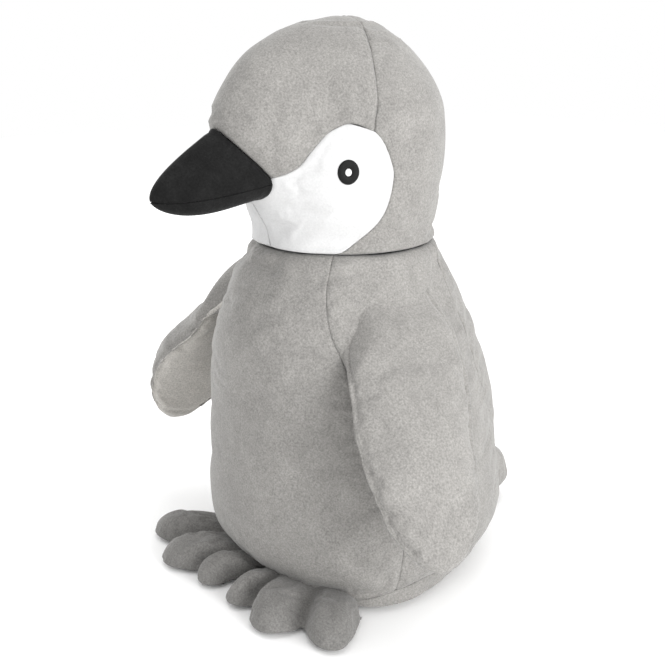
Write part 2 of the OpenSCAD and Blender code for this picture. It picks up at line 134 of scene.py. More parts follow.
# angle and reach of a foot's outline
TOES = [
    (3.5, 100), (4.5, 109), (6, 114), (8.5, 116.5), (11.5, 115.5), (13.8, 112.5),
    (16, 110), (18.5, 117), (21.5, 127), (25.5, 132.5), (29, 132), (33, 127), (36.8, 120),
    (39.5, 130), (43, 139.5), (46.5, 142.5), (49.5, 139), (52, 128), (54, 115), (55.5, 104),
]
# angle and depth of the valleys between the toes
VALLEYS = [
    (3.5, 0.35), (8, 0), (11.5, 0), (16, 1), (21, 0), (30, 0), (36.8, 1), (42, 0), (50, 0),
    (55.5, 0.35),
]
TOE_HEIGHT = 17.0
TOE_TURN = 2.7     # both feet point this many degrees to the toy's left
TAIL = [(-20, 0.12), (-14, 0.42), (-7, 0.86), (0, 1), (7, 0.86), (14, 0.42), (20, 0.12)]
TAIL_REACH = 164.0
TAIL_HEIGHT = 28.0
TAIL_LIFT = 13.0


def curve(rows, x):
    """Smooth curve through the rows of a table, whose first column is the input."""
    table = np.array(rows, float)
    keys, values = table[:, 0], table[:, 1:]
    x = np.clip(np.asarray(x, float), keys[0], keys[-1])
    i = np.clip(np.searchsorted(keys, x, side="right") - 1, 0, len(keys) - 2)
    slopes = np.empty_like(values)
    slopes[1:-1] = (values[2:] - values[:-2]) / (keys[2:] - keys[:-2])[:, None]
    slopes[0] = (values[1] - values[0]) / (keys[1] - keys[0])
    slopes[-1] = (values[-1] - values[-2]) / (keys[-1] - keys[-2])
    h = (keys[i + 1] - keys[i])[..., None]
    t = (x - keys[i])[..., None] / h
    t2, t3 = t * t, t * t * t
    return (
        (2 * t3 - 3 * t2 + 1) * values[i] + (t3 - 2 * t2 + t) * h * slopes[i]
        + (3 * t2 - 2 * t3) * values[i + 1] + (t3 - t2) * h * slopes[i + 1]
    )


def value(rows, x):
    return curve(rows, x)[..., 0]


def mix(a, b, t):
    return a + (b - a) * t


def smooth(x, low=0.0, high=1.0):
    t = np.clip((np.asarray(x, float) - low) / (high - low), 0, 1)
    return t * t * (3 - 2 * t)


def unit(v):
    return v / np.maximum(np.linalg.norm(v, axis=-1, keepdims=True), 1e-9)


def oval(angle, a, d):
    s, c = np.abs(np.sin(angle)), np.abs(np.cos(angle))
    return ((s / a) ** ROUNDNESS + (c / d) ** ROUNDNESS) ** (-1 / ROUNDNESS)


def around(degrees, r, z):
    a = np.radians(degrees)
    return np.stack([r * np.sin(a), -r * np.cos(a), z + 0 * r], -1)


def torso_r(degrees, z):
    a = np.radians(degrees)
    s = curve(TORSO, z)
    turned = np.abs((np.asarray(degrees) + 180) % 360 - 180)
    hips = s[..., 3] * np.exp(-(((turned - HIP_ANGLE) / HIP_WIDTH) ** 2))
    return oval(a, s[..., 0], np.where(np.cos(a) > 0, s[..., 1], s[..., 2])) + hips


def torso(degrees, z):
    return around(degrees, torso_r(degrees, z), z)


def head(degrees, z):
    a = np.radians(degrees)
    s = curve(HEAD, z)
    turned = (np.asarray(degrees) + 180) % 360 - 180
    brow = s[..., 3] * np.exp(-((turned / BROW_WIDTH) ** 2))
    r = oval(a, s[..., 0], np.where(np.cos(a) > 0, s[..., 1], s[..., 2])) + brow
    return around(degrees, r, z)


# ---- noise ---------------------------------------------------------------


def lattice(i, j, k, seed):
    h = (i * 374761393 + j * 668265263 + k * 2147483647 + seed * 974711) & 0xFFFFFFFF
    h = ((h ^ (h >> 13)) * 1274126177) & 0xFFFFFFFF
    h = ((h ^ (h >> 16)) * 2246822519) & 0xFFFFFFFF
    return (h ^ (h >> 15)) / 2147483647.5 - 1


def noise(points, size, seed):
    """Smooth noise from -1 to 1, with features of that size in millimetres."""
    q = np.asarray(points, float) / size + 100
    cell = np.floor(q).astype(np.int64)
    f = q - cell
    f = f * f * (3 - 2 * f)
    total = 0
    for dx in (0, 1):
        for dy in (0, 1):
            for dz in (0, 1):
                weight = (
                    (f[..., 0] if dx else 1 - f[..., 0])
                    * (f[..., 1] if dy else 1 - f[..., 1])
                    * (f[..., 2] if dz else 1 - f[..., 2])
                )
                corner = (cell[..., 0] + dx, cell[..., 1] + dy, cell[..., 2] + dz)
                total = total + weight * lattice(*corner, seed)
    return total


# ---- meshes --------------------------------------------------------------


def mesh_object(name, points, faces):
    mesh = bpy.data.meshes.new(name)
    mesh.from_pydata((np.asarray(points) * MM).tolist(), [], faces)
    mesh.validate()
    mesh.polygons.foreach_set("use_smooth", [True] * len(mesh.polygons))
    obj = bpy.data.objects.new(name, mesh)
    bpy.context.scene.collection.objects.link(obj)
    return obj


def grid_normals(p):
    return unit(np.cross(np.gradient(p, axis=1), np.gradient(p, axis=0)))


def facing(p, direction):
    """The grid with its columns in the order that turns its normals that way."""
    return p if np.sum(grid_normals(p) * direction) > 0 else p[:, ::-1]


def edge_distances(p):
    """Distance along the grid to each of its four edges."""
    across = np.linalg.norm(np.diff(p, axis=1), axis=-1)
    along = np.linalg.norm(np.diff(p, axis=0), axis=-1)
    from_left = np.concatenate([np.zeros((p.shape[0], 1)), np.cumsum(across, 1)], 1)
    from_low = np.concatenate([np.zeros((1, p.shape[1])), np.cumsum(along, 0)], 0)
    return {
        "left": from_left,
        "right": from_left[:, -1:] - from_left,
        "low": from_low,
        "high": from_low[-1:] - from_low,
    }


def quads(rows, cols, start=0, flip=False):
    i, j = np.meshgrid(np.arange(rows - 1), np.arange(cols - 1), indexing="ij")
    a = start + i * cols + j
    q = np.stack([a, a + 1, a + cols + 1, a + cols], -1).reshape(-1, 4)
    return (q[:, ::-1] if flip else q).tolist()


def shell(name, p, thick):
    """A closed sheet of fabric: the grid p, a second grid under it, and four edges."""
    rows, cols = p.shape[:2]
    total = rows * cols
    under = p - grid_normals(p) * thick
    rim = (
        [j for j in range(cols)]
        + [i * cols + cols - 1 for i in range(1, rows)]
        + [(rows - 1) * cols + j for j in range(cols - 2, -1, -1)]
        + [i * cols for i in range(rows - 2, 0, -1)]
    )
    walls = [(b, a, a + total, b + total) for a, b in zip(rim, rim[1:] + rim[:1])]
    faces = quads(rows, cols) + quads(rows, cols, total, True) + walls
    return mesh_object(name, np.concatenate([p.reshape(-1, 3), under.reshape(-1, 3)]), faces)


def steps(length, spacing):
    return max(4, int(round(length / spacing)) + 1)


# ---- cloth: how the fabric settles over its stuffing -----------------------


def blur(grid, sigma, wraps):
    """Gaussian blur of a grid of vectors along its rows and columns, sigma in cells."""
    for axis, s, wrap in ((0, sigma[0], False), (1, sigma[1], wraps)):
        reach = int(3 * s) + 1
        weights = np.exp(-0.5 * (np.arange(-reach, reach + 1) / s) ** 2)
        weights /= weights.sum()
        pad = [(0, 0)] * grid.ndim
        pad[axis] = (reach, reach)
        wide = np.pad(grid, pad, mode="wrap" if wrap else "edge")
        size = grid.shape[axis]
        grid = sum(
            w * np.take(wide, range(k, k + size), axis=axis) for k, w in enumerate(weights)
        )
    return grid


def settle(name, p, held, wraps, slack, pressure=4.0, cap=2.5, keep_shape=22.0):
    """Simulates a stuffed bag of cloth and returns how far each point of its grid moves.

    The points in held, the seams, stay where they are. The cloth is cut a
    little larger than the bag, so it ripples beside them. The broad swelling
    is taken out again, because the grid already has the stuffed shape.
    """
    rows, cols = p.shape[:2]
    points = p.reshape(-1, 3)
    faces = quads(rows, cols)
    if wraps:
        last = np.arange(rows - 1) * cols + cols - 1
        faces += np.stack([last, last - cols + 1, last + 1, last + cols], -1).tolist()
    ends = [points[:cols].mean(0), points[-cols:].mean(0)]
    n = len(points)
    around_cols = range(cols if wraps else cols - 1)
    faces += [(n, (j + 1) % cols, j) for j in around_cols]
    faces += [(n + 1, n - cols + j, n - cols + (j + 1) % cols) for j in around_cols]
    cage = mesh_object("cage_" + name, np.concatenate([points, ends]), faces)
    pins = cage.vertex_groups.new(name="pins")
    pins.add([int(i) for i in np.flatnonzero(held.reshape(-1))] + [n, n + 1], 1.0, "REPLACE")
    cloth = cage.modifiers.new("cloth", "CLOTH")
    cloth.collision_settings.use_collision = False
    fabric = cloth.settings
    fabric.quality = 5
    fabric.mass = 0.2
    fabric.tension_stiffness = 12
    fabric.compression_stiffness = 12
    fabric.shear_stiffness = 6
    fabric.bending_stiffness = 0.35
    fabric.tension_damping = 12
    fabric.compression_damping = 12
    fabric.vertex_group_mass = "pins"
    fabric.use_pressure = True
    fabric.uniform_pressure_force = pressure
    fabric.shrink_min = -slack
    fabric.effector_weights.gravity = 0
    cloth.point_cache.frame_end = 20
    scene = bpy.context.scene
    for number in range(1, 21):
        scene.frame_set(number)
    done = cage.evaluated_get(bpy.context.evaluated_depsgraph_get())
    moved = np.empty(len(done.data.vertices) * 3)
    done.data.vertices.foreach_get("co", moved)
    shift = moved.reshape(-1, 3)[:n].reshape(p.shape) / MM - p
    bpy.data.objects.remove(cage)
    scene.frame_set(1)
    cell = (
        np.mean(np.linalg.norm(np.diff(p, axis=0), axis=-1)),
        np.mean(np.linalg.norm(np.diff(p, axis=1), axis=-1)),
    )
    shift = shift - 0.85 * blur(shift, (keep_shape / cell[0], keep_shape / cell[1]), wraps)
    size = np.linalg.norm(shift, axis=-1, keepdims=True)
    return shift * np.tanh(size / cap) * cap / np.maximum(size, 1e-9)


class Form:
    """A surface with two parameters, and the way its cloth settles."""

    def __init__(self, name, surface, u, v, held, wraps, **cloth):
        self.surface, self.u, self.v, self.wraps = surface, u, v, wraps
        p = surface(u[None, :] + 0 * v[:, None], v[:, None] + 0 * u[None, :])
        self.shift = settle(name, p, held, wraps, **cloth)
        if wraps:
            self.shift = np.concatenate([self.shift, self.shift[:, :1]], 1)
            self.u = np.append(u, u[0] + 360)

    def at(self, u, v):
        return self.surface(u, v) + self.moved(u, v)

    def moved(self, u, v):
        wrapped = (u - self.u[0]) % 360 + self.u[0] if self.wraps else u
        x = np.interp(wrapped, self.u, np.arange(len(self.u)))
        y = np.interp(v, self.v, np.arange(len(self.v)))
        i = np.minimum(x.astype(int), len(self.u) - 2)
        j = np.minimum(y.astype(int), len(self.v) - 2)
        s, t = (x - i)[..., None], (y - j)[..., None]
        g = self.shift
        low = mix(g[j, i], g[j, i + 1], s)
        return mix(low, mix(g[j + 1, i], g[j + 1, i + 1], s), t)

    def normals(self, u, v):
        step = 0.4
        du = self.surface(u + step, v) - self.surface(u - step, v)
        dv = self.surface(u, v + step) - self.surface(u, v - step)
        return unit(np.cross(du, dv))


DIP = {"depth": 0.5, "width": 2.6, "pucker": 0.25, "pitch": 9.0, "roll": 0.0}


def sew(p, normals, seams, seed, uneven=1.0, free=()):
    """Pulls a panel into its seams, puckers it beside them and makes it softly uneven."""
    distances = edge_distances(p)
    nearest = np.min([d for k, d in distances.items() if k not in free], axis=0)
    dents = 0.9 * noise(p, 64, seed) + 0.45 * noise(p, 24, seed + 1) + 0.12 * noise(p, 8, seed + 2)
    lift = uneven * dents * smooth(nearest, 0, 14)
    for k, d in distances.items():
        if k in free:
            continue
        s = {**DIP, **seams.get("all", {}), **seams.get(k, {})}
        lift = lift - s["depth"] * np.clip(1 - d / s["width"], 0, 1) ** 2
        lift = lift + s["roll"] * smooth(d, 0, s["width"]) * np.exp(-((d / s["width"] - 1.2) ** 2))
        beside = np.exp(-((d / (1.2 * s["pitch"])) ** 2)) * smooth(d, 0, 2)
        lift = lift + s["pucker"] * 1.4 * noise(p, s["pitch"] * 0.6, seed + 7) * beside
    return p + normals * lift[..., None]


# ---- materials -------------------------------------------------------------


class Nodes:
    """Builds a node tree with few words."""

    def __init__(self, name):
        self.material = bpy.data.materials.new(name)
        self.material.use_nodes = True
        self.tree = self.material.node_tree
        self.shader = self.tree.nodes["Principled BSDF"]

    def add(self, kind, links=None, **settings):
        made = self.tree.nodes.new(kind)
        for k, v in settings.items():
            if hasattr(made, k):
                setattr(made, k, v)
            else:
                made.inputs[k.replace("_", " ")].default_value = v
        for k, source in (links or {}).items():
            self.tree.links.new(source, made.inputs[k])
        return made

    def noise(self, place, scale, detail, roughness=0.6, distortion=0.0):
        made = self.add("ShaderNodeTexNoise", {"Vector": place}, Scale=scale, Detail=detail)
        made.inputs["Roughness"].default_value = roughness
        made.inputs["Distortion"].default_value = distortion
        return made.outputs["Fac"]

    def rescale(self, source, low, high, to_low=0.0, to_high=1.0):
        made = self.add("ShaderNodeMapRange", {"Value": source})
        for socket, number in zip(("From Min", "From Max", "To Min", "To Max"),
                                  (low, high, to_low, to_high)):
            made.inputs[socket].default_value = number
        return made.outputs["Result"]

    def ramp(self, source, stops):
        made = self.add("ShaderNodeValToRGB", {"Fac": source})
        elements = made.color_ramp.elements
        while len(elements) < len(stops):
            elements.new(0.5)
        for element, (at, colour) in zip(elements, stops):
            element.position = at
            element.color = (*colour, 1)
        return made.outputs["Color"]

    def bump(self, height, strength, distance, under=None):
        links = {"Height": height}
        if under is not None:
            links["Normal"] = under
        made = self.add("ShaderNodeBump", links, Strength=strength, Distance=distance)
        return made.outputs["Normal"]

    def link(self, source, socket):
        self.tree.links.new(source, self.shader.inputs[socket])

    def set(self, **settings):
        for k, v in settings.items():
            self.shader.inputs[k.replace("_", " ")].default_value = v


def velour(name, dark, mid, light, pile=1.0, sheen=0.5, mottle=1.0):
    """Short-pile knit: a mottled nap, pile clumps about a millimetre wide, a soft sheen."""
    m = Nodes(name)
    place = m.add("ShaderNodeTexCoord").outputs["Object"]
    broad = m.noise(place, 26.0, 3.0, 0.55, 1.2)
    brushed = m.noise(place, 75.0, 3.0, 0.6, 0.8)
    tufts = m.noise(place, 820.0, 2.5, 0.7)
    both = m.add("ShaderNodeMath", {0: broad, 1: brushed}, operation="ADD")
    half = m.add("ShaderNodeMath", {0: both.outputs[0]}, operation="MULTIPLY")
    half.inputs[1].default_value = 0.5
    spread = 0.2 / mottle
    patches = m.rescale(half.outputs[0], 0.5 - spread, 0.5 + spread)
    ground = m.ramp(patches, [(0.0, dark), (0.5, mid), (1.0, light)])
    fine = m.rescale(tufts, 0.3, 0.7, 1 - 0.3 * pile, 1 + 0.22 * pile)
    shade = m.add("ShaderNodeVectorMath", {0: ground, "Scale": fine}, operation="SCALE")
    m.link(shade.outputs[0], "Base Color")
    coarse = m.bump(brushed, 0.22, 0.0008)
    m.link(m.bump(tufts, 0.6 * pile, 0.0005, coarse), "Normal")
    m.set(Roughness=0.95, Sheen_Weight=sheen, Sheen_Roughness=0.45, Specular_IOR_Level=0.12)
    return m.material


def grey(v, warm=0.0):
    """A grey of that brightness, tinted towards brown by warm."""
    return (v * (1 + warm), v, v * (1 - 1.6 * warm))


def thread(name, colour):
    """Glossy embroidery thread, a little lighter and darker from fibre to fibre."""
    m = Nodes(name)
    place = m.add("ShaderNodeTexCoord").outputs["Object"]
    fibre = m.noise(place, 2600.0, 2.0)
    dull = tuple(c * 0.7 for c in colour)
    bright = tuple(min(c * 1.35, 1) for c in colour)
    m.link(m.ramp(fibre, [(0.3, dull), (0.7, bright)]), "Base Color")
    m.link(m.bump(fibre, 0.3, 0.0001), "Normal")
    m.set(Roughness=0.6, Sheen_Weight=0.0, Specular_IOR_Level=0.15)
    return m.material


GREY = velour("velour_grey", grey(0.215, 0.03), grey(0.25, 0.03), grey(0.285, 0.03),
              sheen=0.25)
DARK_GREY = velour("velour_dark_grey", grey(0.145, 0.025), grey(0.174, 0.025), grey(0.204, 0.025),
                   sheen=0.2)
# a lighter copy of the grey velour, inside the right wing only: painted light standing in for the
# light from behind that falls there
PAINTED_LIGHT_GREY = velour("velour_grey_painted_light", grey(0.41, 0.04), grey(0.45, 0.04),
                    grey(0.49, 0.04), sheen=0.25)
WHITE = velour("velour_white", grey(0.53), grey(0.56), grey(0.59), pile=0.22, sheen=0.05,
               mottle=0.5)
BLACK = velour("velboa_black", grey(0.006), grey(0.010), grey(0.017), pile=1.3, sheen=0.05)
BLACK_THREAD = thread("thread_black", grey(0.010))
WHITE_THREAD = thread("thread_white", grey(0.8))

# ---- finishing a piece -------------------------------------------------------


def finish_piece(obj, material, nodes):
    obj.data.materials.append(material)
    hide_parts(*nodes)
    return obj


FINE = 1.5     # spacing of a panel's points
CAGE = 3.4     # spacing of a simulated bag's points
SKIN = 1.6     # thickness of the body's fabric
THIN = 1.2     # thickness of the fabric of beak, wings and feet

# ---- torso ---------------------------------------------------------------------


def base_seam(degrees):
    """Height of the base panel's seam, which rides up at the sides."""
    turned = np.abs((np.asarray(degrees) + 180) % 360 - 180)
    return mix(8.0, 19.0, smooth(turned, 52, 92))


def angle_gap(a, b):
    return np.abs((a - b + 180) % 360 - 180)


def near_torso_seam(degrees, z, reach):
    belly = angle_gap(np.abs(degrees), value(BELLY_SEAM, z))
    back = angle_gap(np.abs(degrees), value(BACK_SEAM, z))
    beside = np.radians(np.minimum(np.minimum(belly, back), angle_gap(degrees, 180))) * 95
    ends = np.minimum(np.abs(z - base_seam(degrees)), NECK_Z - z)
    return np.minimum(beside, ends) < reach


TORSO_HEM = {"depth": 1.8, "width": 6.0, "pucker": 0.6, "pitch": 16}
FOLD_DEPTH = 2.0    # of the folds below the neck
FOLD_REACH = 26.0   # how far down they run

turn = np.linspace(-180, 180, steps(640, CAGE))[:-1]
level = np.linspace(1.0, NECK_Z, steps(250, CAGE))
held = near_torso_seam(turn[None, :], level[:, None], 2.2) | (level[:, None] < 6)
torso_form = Form("torso", torso, turn, level, held, True, slack=0.035)


def torso_panel(low_edge, high_edge, seed):
    share = np.linspace(0, 1, steps(NECK_Z, FINE))
    z0 = mix(8, NECK_Z, share)
    a, b = low_edge(z0), high_edge(z0)
    cols = steps(np.radians(np.max(b - a)) * 98, FINE)
    degrees = mix(a[:, None], b[:, None], np.linspace(0, 1, cols)[None, :])
    z = mix(base_seam(degrees), NECK_Z, share[:, None])
    p = torso_form.at(degrees, z)
    n = torso_form.normals(degrees, z)
    level_out = unit(n * [1, 1, 0])
    n = unit(mix(n, level_out, smooth(z, NECK_Z - 16, NECK_Z)[..., None]))
    # the fabric gathers into folds that run down from the neck
    below = NECK_Z - z
    turned = np.stack([np.sin(np.radians(degrees)), np.cos(np.radians(degrees)), 0 * z], -1)
    fold = noise(turned, 0.2, 17) * smooth(below, 0, 7) * np.exp(-((below / FOLD_REACH) ** 2))
    p = p + n * (FOLD_DEPTH * fold)[..., None]
    return sew(p, n, {"high": TORSO_HEM}, seed)


def torso_piece(name, p, nodes):
    obj = finish_piece(shell(name, p, SKIN), GREY, nodes)
    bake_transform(obj)


def belly_edge(z):
    return value(BELLY_SEAM, z)


def back_edge(z):
    return value(BACK_SEAM, z)


def half_turn(z):
    return 180 + 0 * z


def panel_on(side, low, high, seed):
    """A panel between two seams, on the left or, with the seams swapped, on the right."""
    if side == LEFT:
        return torso_panel(low, high, seed)
    return torso_panel(lambda z: -high(z), lambda z: -low(z), seed)


torso_piece("belly_panel", torso_panel(lambda z: -belly_edge(z), belly_edge, 3),
            ["belly_panel", "body_filling"])
for side, side_name in SIDES:
    name = "side_panel_" + side_name
    torso_piece(name, panel_on(side, belly_edge, back_edge, 20 + side), [name])
    name = "back_panel_" + side_name
    torso_piece(name, panel_on(side, back_edge, half_turn, 30 + side), [name])

FLOOR_R = 0.35   # height of the base's flat underside, in millimetres


def base_points():
    degrees = np.linspace(-180, 180, steps(560, 2 * FINE))
    top = base_seam(degrees)
    rings = [torso_form.at(degrees, mix(top, 0.6, math.sin(t * math.pi / 2)))
             for t in np.linspace(0, 1, 16)]
    rim = rings[-1]
    centre = np.array([0, 8, FLOOR_R])
    for t in np.linspace(0, 0.99, 22)[1:]:
        ring = mix(rim, centre, t)
        ring[:, 2] = mix(rim[:, 2], FLOOR_R, smooth(t, 0, 0.2))
        rings.append(ring)
    return np.array(rings)


p = base_points()
p = facing(p, np.array([0, 0, -1]))
n = grid_normals(p)
p = sew(p, n, {}, 35, 0.0, free=("high", "left", "right"))
p[..., 2] = np.maximum(p[..., 2], FLOOR_R)
obj = finish_piece(shell("base_panel", p, SKIN), GREY, ["base_panel"])
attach(obj, "torso")

# ---- head ------------------------------------------------------------------------


def crown_edge(degrees):
    a = np.abs(degrees)
    arch = 1 - np.minimum(a / BEAK_HALF_ANGLE, 1) ** (1 / BEAK_ARCH)
    return np.where(a < BEAK_HALF_ANGLE, BEAK_CORNER_Z + BEAK_RISE * arch, value(BROW, a))


def near_head_seam(degrees, z, reach):
    a = np.abs(degrees)
    hairline = np.radians(angle_gap(a, value(HAIRLINE, z))) * 72
    back = np.radians(angle_gap(degrees, 180)) * 68
    brow = np.where(a < 68, np.abs(z - crown_edge(degrees)) * 0.75, 99)
    chin = np.where(z < 263, np.radians(a) * 72, 99)
    nearest = np.minimum(np.minimum(hairline, back), np.minimum(brow, chin))
    return np.minimum(nearest, z - NECK_Z) < reach


turn = np.linspace(-180, 180, steps(470, CAGE))[:-1]
steep = 0.82 + 0.18 * np.sin(np.linspace(0, 1.5, 14))[1:]
climb = np.concatenate([np.linspace(0, 0.82, 40), steep])
level = mix(NECK_Z, 379.5, climb)
held = near_head_seam(turn[None, :], level[:, None], 2.2) | (level[:, None] > 377)
held = held | ((np.abs(turn[None, :]) < 22) & (level[:, None] < 315) & (level[:, None] > 260))
head_form = Form("head", head, turn, level, held, True, slack=0.03)
HEAD_HEM = {"low": {"depth": 1.8, "width": 5.0, "pucker": 0.5, "pitch": 16, "roll": 0.9}}
SAG = 1.8   # how far the stuffed head hangs over the neck seam


def head_panel(degrees, z, seams, seed, uneven, free=()):
    p = head_form.at(degrees, z)
    n = head_form.normals(degrees, z)
    level_out = unit(n * [1, 1, 0])
    n = unit(mix(level_out, n, smooth(z, NECK_Z, NECK_Z + 14)[..., None]))
    p = sew(p, n, seams, seed, uneven, free)
    above = z - NECK_Z
    p[..., 2] -= SAG * smooth(above, 0, 4) * np.exp(-((above / 9) ** 2))
    return p


def head_piece(name, p, material, nodes):
    obj = finish_piece(shell(name, p, SKIN), material, nodes)
    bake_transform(obj)
    return obj


def crown_points():
    share = np.linspace(-1, 1, steps(200, FINE))[None, :]
    low = crown_edge(share * 68.5)
    rise = np.sin(np.linspace(0, np.pi / 2, steps(130, FINE)))[:, None]
    z = mix(low, APEX_Z, rise)
    reach = value(HAIRLINE, np.maximum(z, 311.2))
    return head_panel(share * reach, z, {}, 41, 0.8, free=("high",))


def head_back_points(side, seed):
    straight = np.linspace(0, 0.8, steps(120, FINE))
    climb = np.concatenate([straight, 0.8 + 0.2 * np.sin(np.linspace(0, np.pi / 2, 36))[1:]])
    z = mix(NECK_Z, APEX_Z, climb)[:, None]
    share = np.linspace(0, 1, steps(130, FINE))[None, :]
    degrees = mix(value(HAIRLINE, z), 180, share)
    degrees = degrees if side == LEFT else -degrees[:, ::-1]
    return head_panel(degrees, z + 0 * degrees, HEAD_HEM, seed, 0.8, free=("high",))


def cheek_points(side, seed):
    z = mix(NECK_Z, 316.5, np.linspace(0, 1, steps(84, FINE)))[:, None]
    edges = curve(CHEEK, z)
    share = np.linspace(0, 1, steps(95, FINE))[None, :]
    degrees = mix(edges[..., 0], edges[..., 1], share)
    degrees = degrees if side == LEFT else -degrees[:, ::-1]
    return head_panel(degrees, z + 0 * degrees, HEAD_HEM, seed, 0.4)


head_piece("crown_panel", crown_points(), GREY,
           ["crown_panel", "head_filling", "neck_filling"])
cheeks = {}
for side, side_name in SIDES:
    name = "head_back_" + side_name
    head_piece(name, head_back_points(side, 50 + side), GREY, [name])
    name = "cheek_" + side_name
    cheeks[side] = head_piece(name, cheek_points(side, 60 + side), WHITE, [name])

# ---- beak --------------------------------------------------------------------------


def beak_points(degrees, t):
    a = np.radians(degrees)
    z = BEAK_CORNER_Z + np.where(np.cos(a) > 0, BEAK_RISE, BEAK_DROP) * np.cos(a)
    rounded = np.abs(np.sin(a)) ** 0.8
    share = np.where(np.cos(a) > 0, (1 - np.minimum(np.cos(a), 1)) ** BEAK_ARCH, rounded)
    turned = BEAK_HALF_ANGLE * np.sign(np.sin(a)) * share
    root = head(turned, z)
    root = root + unit(root * [1, 1, 0]) * 0.3
    taper = mix((1 - t) ** 0.6, (1 - t ** 4.5) ** 0.55, (1 - np.cos(a)) / 2)
    return mix(BEAK_ROOT, BEAK_TIP, t[..., None]) + (root - BEAK_ROOT) * taper[..., None]


MOUTH = 99.7    # angle of the seam between the beak's two panels, from its top
for name, low, high, cols, extra in (
    ("beak_upper", MOUTH, -MOUTH, 110, ["beak_filling"]),
    ("beak_lower", 360 - MOUTH, MOUTH, 76, []),
):
    # rows lie closer together towards the tip, and the last one all but closes it
    t = (0.9996 * (1 - (1 - np.linspace(0, 1, 76)) ** 1.6))[:, None]
    degrees = np.linspace(low, high, cols)[None, :]
    p = beak_points(degrees + 0 * t, t + 0 * degrees)
    p = p[:, ::-1]
    side_seam = {"depth": 0.3, "width": 1.8, "pucker": 0.0}
    seams = {"left": side_seam, "right": side_seam,
             "low": {"depth": 0.6, "width": 2.4, "roll": 0.2, "pucker": 0.15, "pitch": 5}}
    p = sew(p, grid_normals(p), seams, 70, 0.35, free=("high",))
    obj = finish_piece(shell(name, p, THIN), BLACK, [name] + extra)
    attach(obj, "head")

# ---- wings ---------------------------------------------------------------------------


def wing_axes(side):
    f, y = math.radians(FLARE[side]), math.radians(WING_YAW)
    along = np.array([math.sin(f) * math.cos(y), -math.sin(f) * math.sin(y), -math.cos(f)])
    across = np.array([math.sin(y), math.cos(y), 0])
    out = np.array([math.cos(f) * math.cos(y), -math.cos(f) * math.sin(y), math.sin(f)])
    return along, across, out


def wing_points(side):
    """The wing as a surface. Near its root it leaves the body's own surface."""
    along, across, out = wing_axes(side)

    def surface(degrees, u):
        s = curve(WING, u)
        a = np.radians(degrees)
        twist = np.radians(TWIST[side]) * smooth(u, 15, 90)
        swell = np.where(np.sin(a) > 0, PLUMP[side], 1.0)
        bow = BOW[side] * np.sin(np.pi * np.clip(u / 130, 0, 1))
        shoulder = SHOULDER[side] * smooth(-u, -10, 60)
        wide, thick = s[..., 0] * np.cos(a), s[..., 1] * np.sin(a) * swell
        v = s[..., 2] - SWEEP[side] * smooth(u, 0, 70)
        v = v + wide * np.cos(twist) + thick * np.sin(twist)
        n = thick * np.cos(twist) - wide * np.sin(twist) + bow + shoulder
        bag = WING_HINGE + u[..., None] * along + v[..., None] * across + n[..., None] * out
        bearing = np.degrees(np.arctan2(bag[..., 0], -bag[..., 1]))
        r = np.hypot(bag[..., 0], bag[..., 1])
        proud = r - torso_r(bearing, bag[..., 2])
        # the front edge leaves the body lowest, the rear edge and the middle higher
        rearward = np.cos(a)
        leave = np.where(rearward < 0, mix(LEAVE[side], -8, rearward ** 2),
                         mix(LEAVE[side], -46, rearward ** 2))
        leaving = smooth(u, leave, leave + mix(34, 20, np.clip(-rearward, 0, 1)))
        soft = 0.5 * (proud + np.sqrt(proud ** 2 + 36)) * leaving - 2.4 * (1 - leaving)
        lift = mix(soft, proud, smooth(u, 2, 26))
        # the top of the inner face is sewn down inside the armpit
        lift = lift - 6 * np.clip(-np.sin(a), 0, 1) ** 2 * smooth(-u, -2, 12)
        return around(bearing, torso_r(bearing, bag[..., 2]) + lift, bag[..., 2])

    return surface


WING_RIDGE = {"depth": -1.1, "width": 2.2, "roll": -0.9, "pucker": 0.4, "pitch": 10}
WING_RIMS = (("wing_outer_", -56), ("wing_inner_", -14))   # where each panel starts


def front_seam(side, u):
    return 180 + ROLL[side] * np.sin(np.pi * np.clip((u + 40) / 170, 0, 1)) ** 0.7


for side, side_name in SIDES:
    along, across, out = wing_axes(side)
    surface = wing_points(side)
    turn = np.linspace(0, 360, steps(180, CAGE))[:-1]
    reach = np.linspace(-60, 129.5, steps(190, CAGE))
    held = angle_gap(turn[None, :], 0) < 4
    held = held | (angle_gap(turn[None, :], front_seam(side, reach[:, None])) < 4)
    held = held | (reach[:, None] < 8) | (reach[:, None] > 125)
    form = Form("wing_" + side_name, surface, turn, reach, held, True, slack=0.035, cap=1.4)
    mirror = np.array([side, 1, 1])
    for part, start in WING_RIMS:
        outer = part == "wing_outer_"
        name = part + side_name
        nodes = [name, "wing_filling_" + side_name] if outer else [name]
        # the right wing's inner panel gets the lighter grey, which is painted light
        material = GREY if outer or side == LEFT else PAINTED_LIGHT_GREY
        share = np.linspace(0, 1, steps(130 - start, FINE))
        u = mix(start, 130, mix(share, np.sin(share * np.pi / 2), 0.5))[:, None]
        half = np.linspace(0, 180, steps(84, FINE))[None, :]
        seam = front_seam(side, u)
        degrees = half * seam / 180 if outer else mix(seam, 360, half / 180)
        p = form.at(degrees, u + 0 * degrees)
        # the sewn edge runs a little unevenly and stands up as a thin ridge, which
        # fades out before the tip, where the panels are narrow
        edge = np.abs(np.cos(np.radians(half))) ** 6 * np.sign(np.cos(np.radians(half)))
        edge = edge if outer else -edge
        wander = 0.9 * noise(np.stack([u * across[0], u * across[1], u], -1), 11, 5 + side)
        fade = 1 - smooth(u, 112, 127)
        p = p + (edge * wander * smooth(u, 5, 30) * fade)[..., None] * across
        way = out if outer else -out
        p = facing(p, way)
        n = grid_normals(p) * fade[..., None]
        p = sew(p, n, {"all": WING_RIDGE}, 80 + side, 0.7, free=("low",))
        p = facing(p * mirror, way * mirror)
        obj = finish_piece(shell(name, p, THIN), material, nodes)
        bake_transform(obj)

# ---- feet and tail --------------------------------------------------------------------

SOLE_Z = 0.45


